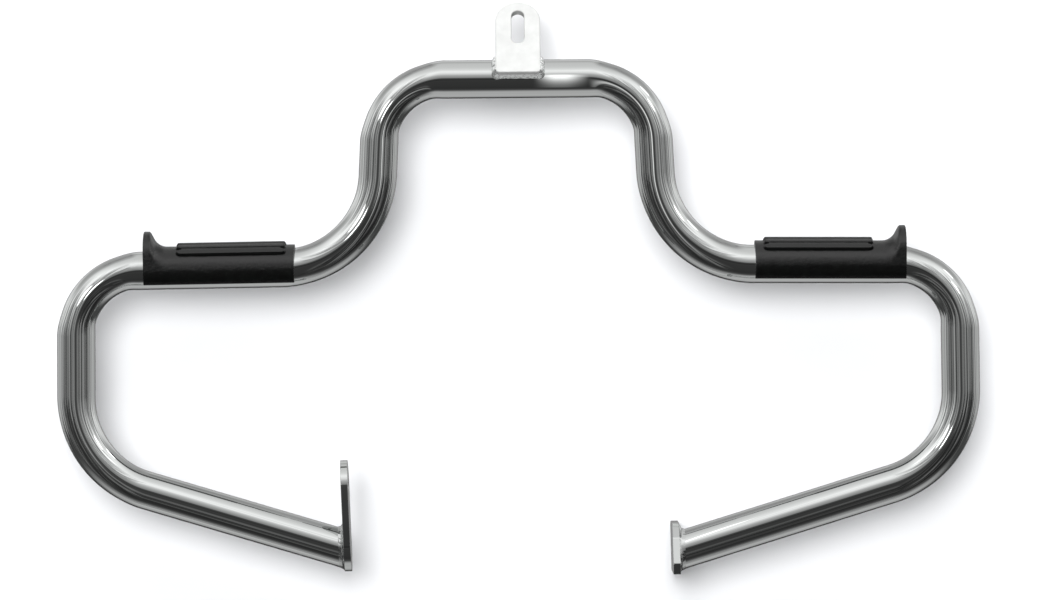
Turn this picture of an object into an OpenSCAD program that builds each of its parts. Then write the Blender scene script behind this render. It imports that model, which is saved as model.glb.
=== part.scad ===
// Motorcycle crash bars: one tube bent eight times in a flat plane, a slotted tab
// welded to its top, a bolting plate welded to each end, and two rubber foot pads.
// X runs across the motorcycle, Y runs to the rear and Z is up. The origin is the
// middle of the tab's slot, on the tab's rear face.

/* [Tube] */
// Outside diameter of the tube
tube_od = 31.75; // [25:0.25:34]
// Wall of the tube
tube_wall = 3.05; // [1.5:0.05:5]
// Thinning of the wall in each bend, on each side of the wall
bend_draw = 0.03; // [0.02:0.01:0.1]
// Centreline radius of the two tight bends on each side, under the tab and at the elbow
tight_radius = 54; // [45:0.5:70]
// Centreline radius of the two wide bends on each side, at the shoulder and the arm
wide_radius = 81; // [60:0.5:95]

/* [Bar outline] */
// Half the length of the straight top under the tab
top_half = 59.5; // [40:0.1:90]
// Length of the straight upper leg
upper_leg = 26.2; // [5:0.1:60]
// Outward lean of the upper leg from the vertical, in degrees
leg_lean = 2.75; // [0:0.25:12]
// Length of the straight shoulder that carries the foot pad
shoulder = 117; // [116:1:160]
// Fall of the shoulder towards its outer end, in degrees
shoulder_fall = 0.55; // [0:0.05:4]
// Length of the straight outer leg
outer_leg = 50; // [20:1:90]
// Outward lean of the foot of the outer leg from the vertical, in degrees
outer_lean = 0.35; // [0:0.05:4]
// Slope of the lower arms below the horizontal, in degrees
arm_slope = 16.9; // [8:0.1:24]
// Length of the left arm, from its bend to its plate
left_arm = 170; // [120:1:190]
// Length of the right arm, from its bend to its plate
right_arm = 184; // [120:1:190]

/* [Top tab] */
// Width of the tab, whose top is a full round
tab_w = 37; // [28:0.5:44]
// Length of the tab from its foot to its top
tab_len = 69.8; // [62:0.1:90]
// Thickness of the tab
tab_t = 6.35; // [4:0.05:8]
// Lean of the tab away from the rider's view, in degrees
tab_lean = 32; // [15:1:40]
// How far the foot of the tab laps past the line where it touches the tube
tab_lap = 8.1; // [5:0.1:10]
// Distance of the tab to the right of the bar's middle
tab_offset = 2; // [-5:0.5:5]
// Radius of the two corners at the foot of the tab
tab_corner = 3; // [1:0.25:5]
// Width of the slot
slot_w = 10.4; // [6:0.1:14]
// Length of the slot over its round ends
slot_len = 32.3; // [20:0.1:34]
// Metal left above the slot
slot_margin = 8.6; // [5:0.1:12]

/* [End plates] */
// Metal left around the tube by the strip that both plates are cut from
plate_border = 5.1; // [4.1:0.1:9]
// Thickness of the plates
plate_t = 6; // [4:0.1:8]
// Distance from the plate's round end at the tube to its bolt hole
bolt_reach = 50; // [46:0.5:80]
// Diameter of the bolt hole
bolt_d = 10.5; // [6:0.1:13]
// How far the plate's round end sits above the middle of the tube
plate_rise = 2; // [0:0.1:2.5]
// Height of the upper corner of the right plate's near edge above the strip's middle
near_shoulder = 9.2; // [4:0.1:14]
// Depth of the lower corner of the right plate's near edge below the strip's middle
near_corner = 12.3; // [4:0.1:16]
// Lean to the rear of the face between the two corners, in degrees
near_lean = 15; // [0:0.5:18]
// Lean to the rear of the faces beyond the two corners, in degrees
near_cut = [45, 20];
// Outward lean of the top of the left plate, in degrees
left_plate_lean = 2; // [-3:0.5:4]
// Outward lean of the top of the right plate, in degrees
right_plate_lean = -1; // [-3:0.5:4]

/* [Welds] */
// Length of the end welds along the tube
weld_leg = 4.5; // [2.5:0.1:6]
// Strip of plate left bare between the end weld and the plate's edge
weld_margin = 0.6; // [0.3:0.1:1.2]
// Width of the weld around the foot of the tab
tab_weld_leg = 2.6; // [2:0.1:5]
// How far the tab's weld climbs its sides past the line of contact
tab_weld_climb = 9; // [6:0.5:10]
// Depth of the ripples of a weld, as a part of its width
ripple = 0.14; // [0:0.01:0.25]
// Length of one ripple
ripple_pitch = 4.2; // [3:0.1:8]
// Gap that keeps each weld off the metal it is run on
weld_gap = 0.08; // [0.06:0.01:0.15]

/* [Foot pads] */
// Length of a pad
pad_len = 125; // [100:0.5:126]
// How far the left pad runs past the inner end of its straight shoulder
left_pad_overrun = 11.2; // [-6:0.1:14]
// How far the right pad runs past the inner end of its straight shoulder
right_pad_overrun = -0.9; // [-6:0.1:14]
// Thickness of the rubber around the tube
pad_wall = 3.7; // [3:0.1:6]
// Gap between the pad and the tube
pad_gap = 0.2; // [0.15:0.05:0.4]
// Depth of the pad's lower edges below the middle of the tube
pad_skirt = 12.2; // [6:0.1:13]
// Height of the ribs above the rubber
rib_h = 3; // [1.5:0.1:4]
// Number of ribs around the pad
rib_count = 6; // [2:1:7]
// Angle from one rib to the next around the tube, in degrees
rib_pitch = 19; // [15:0.5:22]
// Angle of the groove between two ribs, in degrees
rib_groove = 2; // [1.5:0.1:5]
// Depth of the groove between two ribs
groove_depth = 1.2; // [0.5:0.1:2.5]
// Plain rubber between the ribs and the pad's inner end
rib_inset = 7; // [4:0.5:12]
// Plain rubber between the ribs and the pad's outer end
rib_outset = 27; // [20:0.5:34]
// Height of the toe lip above the rubber
lip_h = 12.8; // [8:0.1:18]
// Thickness of the toe lip at its tip
lip_t = 5.7; // [4:0.1:7]
// Radius of the hollow that joins the toe lip to the pad
lip_hollow = 12; // [8:0.5:14]
// Slope of the toe lip's inner face above the hollow, in degrees
lip_slope = 62; // [50:1:75]

/* [Hidden] */
$fn = 96;

tube_r = tube_od / 2;
pad_bore_r = tube_r + pad_gap;
pad_r = tube_r + pad_wall;
rib_r = pad_r + rib_h;
rib_len = pad_len - rib_inset - rib_outset;
// Width of the strip of both plates, whose ends are full rounds
plate_w = tube_od + 2 * plate_border;
// Overlap of each bend into the straights beside it, in degrees
bend_overlap = 0.5;
// Length that a cutter stands out past what it cuts
past = 10;
// Steps of a weld's ripple
ripple_steps = 3;
// Steps of the hollow under the toe lip
lip_steps = 12;
// Points across a weld's hollow face
weld_rows = 3;

// Route of the right half, outwards from the middle of the top. Each leg is a straight
// and then a bend: its length, the bend's radius and the bend's turn, positive downwards.
half_route = [
    [top_half, tight_radius, 90 - leg_lean],
    [upper_leg, wide_radius, -(90 - leg_lean - shoulder_fall)],
    [shoulder, tight_radius, 90 - outer_lean - shoulder_fall],
    [outer_leg, wide_radius, 90 + outer_lean - arm_slope],
];

// Where leg i starts: its X, its Z and its heading below the horizontal
function leg_start(i) = i < 1 ? [0, 0, 0] : let(
    p = leg_start(i - 1),
    leg = half_route[i - 1],
    q = ahead(p, leg[0]),
    side = sign(leg[2]),
    heading = q[2] + leg[2]
) [
    q[0] + side * leg[1] * (sin(heading) - sin(q[2])),
    q[1] + side * leg[1] * (cos(heading) - cos(q[2])),
    heading,
];
// The place d further along the heading of p
function ahead(p, d) = [p[0] + d * cos(p[2]), p[1] - d * sin(p[2]), p[2]];
arm_start = leg_start(len(half_route));

// The slot's middle on the tab's rear face, seen from the middle of the top tube
slot_up = tab_len - tab_lap - slot_margin - slot_len / 2;
slot_at = [
    tab_offset,
    slot_up * sin(tab_lean) - tube_r * cos(tab_lean),
    slot_up * cos(tab_lean) + tube_r * sin(tab_lean),
];

// Turns a place on the route into a frame with +Z along the tube and +X on the side
// that the bar bends down to
module on_route(p) {
    translate([p[0], 0, p[1]]) rotate([0, 90 + p[2], 0]) children();
}

// Puts a shape into the frame of the top tab: X across it, Y up it and Z out of its
// front, from the line on the tube's axis below its line of contact
module on_tab() {
    rotate([90 - tab_lean, 0, 0]) translate([tab_offset, 0, 0]) children();
}

// Moves the finished bar so that the slot's middle is the origin
module from_slot() {
    translate(-slot_at) children();
}

// One half of the bar as straights of section child 0 and bends of section child 1
module half_bar(arm, first, last) {
    for (i = [first : last]) {
        leg = half_route[i];
        start = leg_start(i);
        on_route(start) linear_extrude(leg[0]) children(0);
        on_route(ahead(start, leg[0])) rotate([0, 0, leg[2] > 0 ? 0 : 180])
            translate([leg[1], 0, 0]) rotate([90, 0, 180]) rotate([0, 0, -bend_overlap])
            rotate_extrude(angle = abs(leg[2]) + 2 * bend_overlap)
            translate([leg[1], 0]) children(1);
    }
    if (arm > 0) on_route(arm_start) linear_extrude(arm) children(0);
}

module wall_section(draw) {
    difference() {
        circle(d = tube_od - 2 * draw);
        circle(d = tube_od - 2 * tube_wall + 2 * draw);
    }
}

// The frame of an end plate on the right half: X points out of the plate towards the
// tube, Z up it and Y to the rear, from the middle of the tube's end
module on_plate(arm, lean) {
    end = ahead(arm_start, arm);
    translate([end[0], 0, end[1]]) rotate([0, lean, 0]) children();
}

// What lies past the tube's end, on the plate's side of its seat
module past_seat(arm, lean) {
    reach = 2 * tube_od;
    on_plate(arm, lean) translate([-reach, -reach / 2, -reach / 2]) cube(reach);
}

module bar_tube() {
    over = tube_od / 2;
    color("gainsboro") from_slot() difference() {
        union() {
            for (side = [0, 1]) mirror([side, 0, 0])
                half_bar((side == 0 ? right_arm : left_arm) + over, 0, len(half_route) - 1) {
                    wall_section(0);
                    wall_section(bend_draw);
                }
        }
        past_seat(right_arm, right_plate_lean);
        mirror([1, 0, 0]) past_seat(left_arm, left_plate_lean);
    }
}

// Outline of the tab: round top, rounded foot corners
module tab_outline() {
    top_y = tab_len - tab_lap - tab_w / 2;
    foot = -tab_lap;
    translate([0, top_y]) circle(d = tab_w);
    translate([-tab_w / 2, foot + tab_corner]) square([tab_w, top_y - foot - tab_corner]);
    translate([-tab_w / 2 + tab_corner, foot]) square([tab_w - 2 * tab_corner, tab_corner]);
    for (x = [-1, 1]) translate([x * (tab_w / 2 - tab_corner), foot + tab_corner])
        circle(r = tab_corner);
}

module slot_outline() {
    half = (slot_len - slot_w) / 2;
    translate([0, slot_up]) {
        for (y = [-half, half]) translate([0, y]) circle(d = slot_w);
        translate([-slot_w / 2, -half]) square([slot_w, 2 * half]);
    }
}

module top_tab() {
    color("whitesmoke") from_slot() on_tab() translate([0, 0, tube_r])
        linear_extrude(tab_t) difference() {
            tab_outline();
            slot_outline();
        }
}

// Skin over a list of rings with the same number of points each
module skin(rings, closed) {
    n = len(rings);
    k = len(rings[0]);
    walls = [
        for (i = [0 : closed ? n - 1 : n - 2], j = [0 : k - 1])
            let(a = i * k, b = (i + 1) % n * k, m = (j + 1) % k)
            each [[a + j, b + j, b + m], [a + j, b + m, a + m]]
    ];
    caps = closed ? [] : [
        [for (j = [0 : k - 1]) j],
        [for (j = [k - 1 : -1 : 0]) (n - 1) * k + j],
    ];
    polyhedron([for (r = rings) each r], concat(walls, caps), convexity = 6);
}

// Hollow face of a weld from point b to point c about corner a, sunk by a part of the way
function hollow(a, b, c, sink) = [
    for (j = [1 : weld_rows]) let(
        t = j / (weld_rows + 1),
        chord = b + (c - b) * t
    ) chord + (a - chord) * sink * sin(180 * t)
];

// Ripple of a weld at step i: how far its face is sunk below the straight line
function ripple_sink(i) = 0.12 + ripple * (1 + cos(360 * i / ripple_steps)) / 2;

// Ring of weld around the tube's end, in the frame of the plate
module end_weld(lean, near) {
    fall = arm_slope + lean;
    r = tube_r + weld_gap;
    along = [cos(fall), 0, sin(fall)];
    steps = ripple_steps * round(PI * 2 * tube_r / ripple_pitch);
    skin([
        for (i = [0 : steps - 1]) let(
            t = 360 * i / steps,
            corner = [weld_gap, r * sin(t), r * cos(t) / cos(fall)],
            rim = plate_reach(t, near) - weld_margin,
            edge = [weld_gap, rim * sin(t), rim * cos(t) + plate_rise],
            foot = corner + along * weld_leg
        ) concat([corner, edge], hollow(corner, edge, foot, ripple_sink(i)), [foot])
    ], true);
}

// Corners of the right plate's near edge, from the top: each is [to the rear, up]
plate_half = plate_w / 2;
near_fall = near_shoulder + near_corner;
near_edge = [
    [
        -plate_half + near_fall * tan(near_lean) + (plate_half - near_shoulder) * tan(near_cut[0]),
        plate_half,
    ],
    [-plate_half + near_fall * tan(near_lean), near_shoulder],
    [-plate_half, -near_corner],
    [-plate_half + (plate_half - near_corner) * tan(near_cut[1]), -plate_half],
];

// Reach of the plate from its middle towards t degrees, 0 being up and 90 the rear, and
// near true where its near edge is cut straight
function plate_reach(t, near) = min(plate_half, near ? min([
    for (face = [[0, 1], [near_cut[0], 1], [near_lean, 2]]) let(
        out = -cos(face[0]) * sin(t) + sin(face[0]) * cos(t),
        corner = near_edge[face[1]],
        d = -cos(face[0]) * corner[0] + sin(face[0]) * corner[1]
    ) face[0] > 0 && out > 0.1 ? d / out : plate_half
]) : plate_half);

// Strip with full-round ends and a bolt hole, standing on its round end at the tube, or
// on the straight cuts of the right plate
module plate_outline(near) {
    difference() {
        union() {
            translate([0, bolt_reach]) circle(d = plate_w);
            if (near) polygon(concat(
                [[plate_half, bolt_reach], [-plate_half, bolt_reach]],
                [for (p = near_edge) [-p[1], p[0]]]
            ));
            else {
                circle(d = plate_w);
                translate([-plate_half, 0]) square([plate_w, bolt_reach]);
            }
        }
        translate([0, bolt_reach]) circle(d = bolt_d);
    }
}

// End plate of the right half; turn lays its strip from upright to the rear
module end_plate(turn, near) {
    translate([-plate_t, 0, plate_rise]) rotate([turn, 0, 0])
        rotate([90, 0, 90]) linear_extrude(plate_t) plate_outline(near);
}

module left_end_plate() {
    color("silver") from_slot() mirror([1, 0, 0])
        on_plate(left_arm, left_plate_lean) end_plate(0, false);
}

module right_end_plate() {
    color("silver") from_slot()
        on_plate(right_arm, right_plate_lean) end_plate(-90, true);
}

module left_end_weld() {
    color("lightgray") from_slot() mirror([1, 0, 0])
        on_plate(left_arm, left_plate_lean) end_weld(left_plate_lean, false);
}

module right_end_weld() {
    color("lightgray") from_slot()
        on_plate(right_arm, right_plate_lean) end_weld(right_plate_lean, true);
}

// Path of the tab's weld: down the left edge, around the corners and up the right edge.
// Each point holds X, Y and the angle of the outward normal from +X.
tab_weld_side = tab_weld_climb + tab_lap - tab_corner;
tab_weld_bend = PI / 2 * tab_corner;
tab_weld_foot = tab_w - 2 * tab_corner;
tab_weld_len = 2 * tab_weld_side + 2 * tab_weld_bend + tab_weld_foot;

function tab_edge(s) = s > tab_weld_len / 2 ? let(p = tab_edge(tab_weld_len - s))
        [-p[0], p[1], 180 - p[2]]
    : s < tab_weld_side ? [-tab_w / 2, tab_weld_climb - s, 180]
    : s < tab_weld_side + tab_weld_bend ? let(
        turn = 180 + (s - tab_weld_side) / tab_corner * 180 / PI
    ) [
        -tab_w / 2 + tab_corner + tab_corner * cos(turn),
        -tab_lap + tab_corner + tab_corner * sin(turn),
        turn,
    ]
    : [-tab_w / 2 + tab_corner + s - tab_weld_side - tab_weld_bend, -tab_lap, 270];

// A point on the tube's surface, d out along it from the tab's edge at p
function on_tube(p, d) = let(
    r = tube_r + weld_gap,
    around = asin(p[1] / r) + d * sin(p[2]) / r * 180 / PI
) [p[0] + d * cos(p[2]), r * sin(around), r * cos(around)];

module top_tab_weld() {
    steps = ripple_steps * round(tab_weld_len / ripple_pitch);
    color("lightgray") from_slot() on_tab() skin([
        for (i = [0 : steps]) let(
            p = tab_edge(tab_weld_len * i / steps),
            taper = min(1, 0.25 + i / ripple_steps / 3, 0.25 + (steps - i) / ripple_steps / 3),
            corner = on_tube(p, 2 * weld_gap),
            wall = [corner[0], corner[1], tube_r + tab_t * 0.8 * taper],
            foot = on_tube(p, tab_weld_leg * taper)
        ) concat(
            [corner, wall],
            hollow(corner, wall, foot, ripple_sink(i) / 2),
            [foot, on_tube(p, tab_weld_leg * taper / 2) + [0, 0, weld_gap]]
        )
    ], false);
}

// Section of the pad across the tube, open below, with its arched toe lip when lip > 0
module pad_section(lip) {
    intersection() {
        union() {
            circle(r = pad_r);
            if (lip > 0) {
                translate([0, lip]) circle(r = pad_r);
                translate([-pad_r, 0]) square([2 * pad_r, lip]);
            }
        }
        translate([-2 * pad_r, -pad_skirt]) square([4 * pad_r, 4 * pad_r]);
    }
}

// Side view of the toe lip, from the pad's outer end: a flat tip, a slope and a hollow
module lip_profile() {
    top = pad_r + lip_h;
    slope_foot = lip_hollow * (1 - cos(lip_slope));
    foot = lip_t + (lip_h - slope_foot) / tan(lip_slope) + lip_hollow * sin(lip_slope);
    polygon(concat(
        [[-foot, 0], [0, 0], [0, top], [-lip_t, top]],
        [for (i = [lip_steps : -1 : 0]) let(a = lip_slope * i / lip_steps)
            [-foot + lip_hollow * sin(a), pad_r + lip_hollow * (1 - cos(a))]]
    ));
}

// Layer around the top of the pad, h above its surface, over the angle turn and from
// u0 to u1 along the pad
module pad_layer(h, turn, u0, u1) {
    rotate([0, -90, 0]) translate([0, 0, -u1]) rotate([0, 0, -turn / 2])
        rotate_extrude(angle = turn)
        translate([pad_r - pad_wall / 2, 0]) square([h + pad_wall / 2, u1 - u0]);
}

// One rib at the top of the pad, with round ends
module rib() {
    half_w = rib_r * sin(rib_pitch / 2 - rib_groove / 2);
    intersection() {
        pad_layer(rib_h, rib_pitch - rib_groove, 0, rib_len);
        linear_extrude(rib_r + past) {
            for (x = [half_w, rib_len - half_w]) translate([x, 0]) circle(r = half_w);
            translate([half_w, -half_w]) square([rib_len - 2 * half_w, 2 * half_w]);
        }
    }
}

// Ribs of the pad, with a bed between them that leaves shallow grooves
module ribs() {
    bed_inset = rib_r * sin(rib_pitch / 2 - rib_groove / 2);
    for (i = [0 : rib_count - 1]) rotate([(i - (rib_count - 1) / 2) * rib_pitch, 0, 0]) rib();
    pad_layer(rib_h - groove_depth, (rib_count - 1) * rib_pitch, bed_inset, rib_len - bed_inset);
}

// Foot pad of the right half, on the shoulder and the ends of the bends beside it
module foot_pad(overrun) {
    start = leg_start(2);
    difference() {
        translate([start[0], 0, start[1]]) rotate([0, start[2], 0])
            translate([-overrun, 0, 0]) {
                rotate([90, 0, 90]) linear_extrude(pad_len) pad_section(0);
                intersection() {
                    rotate([90, 0, 90]) linear_extrude(pad_len) pad_section(lip_h);
                    translate([pad_len, 2 * pad_r, 0]) rotate([90, 0, 0])
                        linear_extrude(4 * pad_r) lip_profile();
                }
                translate([rib_inset, 0, 0]) ribs();
            }
        half_bar(0, 1, 2) {
            circle(r = pad_bore_r);
            circle(r = pad_bore_r - bend_draw);
        }
    }
}

module left_foot_pad() {
    color("dimgray") from_slot() mirror([1, 0, 0]) foot_pad(left_pad_overrun);
}

module right_foot_pad() {
    color("dimgray") from_slot() foot_pad(right_pad_overrun);
}

bar_tube();
top_tab();
top_tab_weld();
left_end_plate();
left_end_weld();
right_end_plate();
right_end_weld();
left_foot_pad();
right_foot_pad();
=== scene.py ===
import math

import bmesh
import bpy
import numpy as np
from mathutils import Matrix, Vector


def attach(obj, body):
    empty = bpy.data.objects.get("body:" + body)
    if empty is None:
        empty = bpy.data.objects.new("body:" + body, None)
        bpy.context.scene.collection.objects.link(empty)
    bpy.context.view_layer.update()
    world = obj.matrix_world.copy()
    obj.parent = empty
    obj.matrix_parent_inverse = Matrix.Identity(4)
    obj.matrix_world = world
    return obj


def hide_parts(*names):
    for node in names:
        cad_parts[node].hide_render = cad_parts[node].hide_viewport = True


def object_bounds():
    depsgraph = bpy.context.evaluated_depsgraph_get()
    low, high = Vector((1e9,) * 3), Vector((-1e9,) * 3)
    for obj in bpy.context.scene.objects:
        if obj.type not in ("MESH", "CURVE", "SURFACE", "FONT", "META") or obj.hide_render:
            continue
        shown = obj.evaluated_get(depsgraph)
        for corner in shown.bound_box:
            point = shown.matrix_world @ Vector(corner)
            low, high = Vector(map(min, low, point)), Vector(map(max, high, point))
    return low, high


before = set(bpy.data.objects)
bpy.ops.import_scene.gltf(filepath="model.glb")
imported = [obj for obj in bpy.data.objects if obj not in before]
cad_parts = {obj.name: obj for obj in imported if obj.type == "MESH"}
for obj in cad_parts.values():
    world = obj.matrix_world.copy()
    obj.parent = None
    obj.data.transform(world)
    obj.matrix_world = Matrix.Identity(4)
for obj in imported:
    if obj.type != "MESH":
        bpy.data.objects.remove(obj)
cad_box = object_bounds()

# Camera. The photograph was taken straight from the front with a long lens, and the
# bar hangs in it about half a degree higher on the right.
MM = 0.001
PHOTO_WIDTH_MM = 871.4
PHOTO_CENTRE_MM = (5.6, -222.6)
PHOTO_ROLL_DEG = 0.52
TUBE_PLANE_Y_MM = -6.12
CAMERA_DISTANCE_M = 5.0

lens = bpy.data.cameras.new("photo_camera")
lens.sensor_width = 36
lens.lens = lens.sensor_width * CAMERA_DISTANCE_M / (PHOTO_WIDTH_MM * MM)
camera = bpy.data.objects.new("photo_camera", lens)
camera.location = (
    PHOTO_CENTRE_MM[0] * MM,
    TUBE_PLANE_Y_MM * MM - CAMERA_DISTANCE_M,
    PHOTO_CENTRE_MM[1] * MM,
)
camera.rotation_euler = (math.radians(90), math.radians(PHOTO_ROLL_DEG), 0)
bpy.context.scene.collection.objects.link(camera)
bpy.context.scene.camera = camera
bpy.context.scene.view_settings.view_transform = "Standard"


# Studio. A white tent lights the bar from all round. Chrome shows it as bands: a bright
# lamp panel above the camera, a grey line at eye level, a dark table edge below it.
def add_node(tree, kind, inputs=(), **settings):
    """Adds one node with its settings; an input is a plain value or a socket to link."""
    node = tree.nodes.new(kind)
    for name, value in settings.items():
        setattr(node, name, value)
    for key, value in dict(inputs).items():
        if isinstance(value, bpy.types.NodeSocket):
            tree.links.new(value, node.inputs[key])
        else:
            node.inputs[key].default_value = value
    return node


def linear(colour):
    """Linear RGBA of an sRGB hex colour: c / 12.92 below 0.04045, and above it
    ((c + 0.055) / 1.055) to the power of 2.4."""
    c = np.array([int(colour[i:i + 2], 16) / 255 for i in (1, 3, 5)])
    low, high = c / 12.92, ((c + 0.055) / 1.055) ** 2.4
    return (*(float(v) for v in np.where(c <= 0.04045, low, high)), 1.0)


def fill_ramp(node, stops, scale):
    """Sets a colour ramp from (place, grey as sRGB 0-255) pairs, each grey made linear
    and multiplied by scale."""
    ramp = node.color_ramp
    while len(ramp.elements) < len(stops):
        ramp.elements.new(0.5)
    for element, (place, grey) in zip(ramp.elements, stops):
        element.position = place
    for element, (place, grey) in zip(ramp.elements, stops):
        value = linear("#" + f"{round(grey):02x}" * 3)[0] * scale
        element.color = (value, value, value, 1)


def maths(tree, operation, *values):
    """One step of arithmetic on numbers or sockets; returns its result."""
    inputs = dict(enumerate(values))
    return add_node(tree, "ShaderNodeMath", inputs, operation=operation).outputs[0]


def spread(tree, value, low, high, start=0.0, end=1.0):
    """Socket that rises smoothly from start to end while value goes from low to high."""
    return add_node(
        tree, "ShaderNodeMapRange",
        {"Value": value, "From Min": low, "From Max": high, "To Min": start, "To Max": end},
        interpolation_type="SMOOTHSTEP",
    ).outputs[0]


def noise(tree, at, scale, detail, roughness=0.5, **settings):
    """Cloudy noise at the points of the socket at, as a socket from 0 to 1."""
    inputs = {"Vector": at, "Scale": scale, "Detail": detail, "Roughness": roughness}
    return add_node(tree, "ShaderNodeTexNoise", inputs, **settings).outputs[0]


def facing(tree, ray, direction):
    """Cosine of the angle between a ray and a fixed direction: their dot product."""
    return add_node(
        tree, "ShaderNodeVectorMath", {0: ray, 1: direction}, operation="DOT_PRODUCT",
    ).outputs["Value"]


# Tone of the tent that the chrome shows, by elevation in degrees, before and behind it.
# Chrome gives back less than all of the light, so each tone is divided by its share
FRONT_TONES = [
    (-90, 166), (-82, 150), (-70, 66), (-58, 44), (-40, 48), (-14, 50), (-3.5, 56),
    (-1.5, 108), (3, 112), (8, 128), (14, 146), (22, 168), (33, 216), (45, 238),
    (58, 212), (70, 199), (82, 195), (90, 192),
]
BACK_TONES = [
    (-90, 166), (-62, 168), (-45, 146), (-38, 96), (-30, 56), (-16, 64), (-11, 150),
    (5, 164), (18, 204), (34, 190), (56, 184), (60, 140), (64, 178), (80, 190), (90, 192),
]
CHROME_SHARE = 0.62
# Lamps and windows of the room: turn to the right, height and radius in degrees, strength
LAMPS = [(-12, 8, 2.2, 6.0), (-31, 18, 5.0, 3.0), (55, 27, 4.5, 2.2), (84, 43, 4.5, 1.8)]
LENS_SPOT_DEG, LENS_SHARE = 5.5, 0.3
# Upright streaks: people, stands and folds of the tent, none straight ahead of the bar.
# They start and are full at these sideways parts of a ray, and bend the tones by radians
STREAK_SCALE, STREAK_STRETCH, STREAK_ASIDE, STREAK_BEND = 7.0, 0.14, (0.05, 0.22), 0.11
STREAK_RISE, STREAK_DEPTH, STREAK_BEHIND = (0.2, 0.8), (0.62, 0.12), 0.4
# The low streaks glow between two heights, each given as where they start and are full
LOW_STREAK_FOOT, LOW_STREAK_TOP, LOW_STREAK_GLOW = (-1.0, -0.5), (-0.14, -0.04), 0.16
CEILING_RISE, CEILING_ASIDE, CEILING_SIDE_SHARE = (0.35, 0.7), (0.08, 0.26), 0.62
BEHIND_Y, STRAIGHT_BEHIND_Y, STRAIGHT_BEHIND_SHARE = (-0.35, 0.35), (0.72, 0.93), 0.5
LAMP_RIM, LAMP_CORE = 1.3, 0.8
WHITE_STRENGTH = 1.05

world = bpy.data.worlds.new("white_tent")
bpy.context.scene.world = world
world.use_nodes = True
sky = world.node_tree
sky.nodes.clear()
toward = add_node(sky, "ShaderNodeTexCoord").outputs["Generated"]
split = add_node(sky, "ShaderNodeSeparateXYZ", {0: toward})
rise = maths(sky, "ARCSINE", split.outputs["Z"])
forward = maths(sky, "MULTIPLY", split.outputs["Y"], -1)
turn = maths(sky, "ARCTAN2", split.outputs["X"], forward)
aside = maths(sky, "ABSOLUTE", split.outputs["X"])
behind = spread(sky, split.outputs["Y"], *BEHIND_Y)
streak_at = add_node(
    sky, "ShaderNodeCombineXYZ", {0: turn, 1: maths(sky, "MULTIPLY", rise, STREAK_STRETCH)},
).outputs[0]
streaks = noise(sky, streak_at, STREAK_SCALE, 5.0, 0.72, noise_dimensions="2D")
streak = spread(sky, streaks, 0.34, 0.66, -1, 1)
streak = maths(sky, "MULTIPLY", streak, spread(sky, aside, *STREAK_ASIDE))
bent = maths(sky, "MULTIPLY_ADD", streak, STREAK_BEND, rise)
rise01 = maths(sky, "MULTIPLY_ADD", bent, 1 / math.pi, 0.5)
ramps = []
for tones in (FRONT_TONES, BACK_TONES):
    ramp = add_node(sky, "ShaderNodeValToRGB", {0: rise01})
    fill_ramp(ramp, [((e + 90) / 180, grey) for e, grey in tones], 1 / CHROME_SHARE)
    ramps.append(ramp.outputs[0])
tent = add_node(
    sky, "ShaderNodeMix", {0: behind, 6: ramps[0], 7: ramps[1]}, data_type="RGBA",
)
# The streaks darken and lighten the tones too, least high up and behind the bar
depth = spread(sky, rise, *STREAK_RISE, *STREAK_DEPTH)
depth = maths(sky, "MULTIPLY", depth, spread(sky, behind, 0, 1, 1, STREAK_BEHIND))
share = maths(sky, "MULTIPLY_ADD", streak, depth, 1)
# The ceiling behind the bar falls off to both sides
high = maths(sky, "MULTIPLY", behind, spread(sky, rise, *CEILING_RISE))
ceiling = maths(sky, "MULTIPLY", spread(sky, aside, *CEILING_ASIDE), high)
share = maths(sky, "MULTIPLY", share, spread(sky, ceiling, 0, 1, 1, CEILING_SIDE_SHARE))
# The camera's lens is a dark spot straight ahead
spot = math.cos(math.radians(LENS_SPOT_DEG))
lens_dark = spread(
    sky, facing(sky, toward, (0, -1, 0)), spot - 0.002, spot + 0.001, 1, LENS_SHARE,
)
share = maths(sky, "MULTIPLY", share, lens_dark)
# The bar hides the light straight behind it, which gives its outline a dark line
hidden = spread(sky, split.outputs["Y"], *STRAIGHT_BEHIND_Y, 1, STRAIGHT_BEHIND_SHARE)
share = maths(sky, "MULTIPLY", share, hidden)
# Light streaks low in front of the bar cross the dark band of its slanted tubes
low = spread(sky, rise, *LOW_STREAK_FOOT)
low = maths(sky, "MULTIPLY", low, spread(sky, rise, *LOW_STREAK_TOP, 1, 0))
line = maths(sky, "POWER", maths(sky, "MAXIMUM", streak, 0), 2)
in_front = spread(sky, behind, 0, 1, LOW_STREAK_GLOW, 0)
glow = maths(sky, "MULTIPLY", maths(sky, "MULTIPLY", line, low), in_front)
for azimuth, height, radius, strength in LAMPS:
    a, h = math.radians(azimuth), math.radians(height)
    place = (math.sin(a) * math.cos(h), -math.cos(a) * math.cos(h), math.sin(h))
    rim, core = (math.cos(math.radians(radius * k)) for k in (LAMP_RIM, LAMP_CORE))
    glow = maths(
        sky, "ADD", glow, spread(sky, facing(sky, toward, place), rim, core, 0, strength),
    )
room = add_node(
    sky, "ShaderNodeVectorMath", {0: tent.outputs[2], "Scale": share}, operation="SCALE",
).outputs[0]
room = add_node(sky, "ShaderNodeVectorMath", {0: room, 1: glow}, operation="ADD").outputs[0]
tent_light = add_node(sky, "ShaderNodeBackground", {"Color": room})
# The camera itself sees plain white round the paper
white = add_node(
    sky, "ShaderNodeBackground", {"Color": (1, 1, 1, 1), "Strength": WHITE_STRENGTH},
)
seen = add_node(sky, "ShaderNodeLightPath").outputs["Is Camera Ray"]
either = add_node(
    sky, "ShaderNodeMixShader",
    {0: seen, 1: tent_light.outputs[0], 2: white.outputs[0]},
)
add_node(sky, "ShaderNodeOutputWorld", {"Surface": either.outputs[0]})


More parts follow.
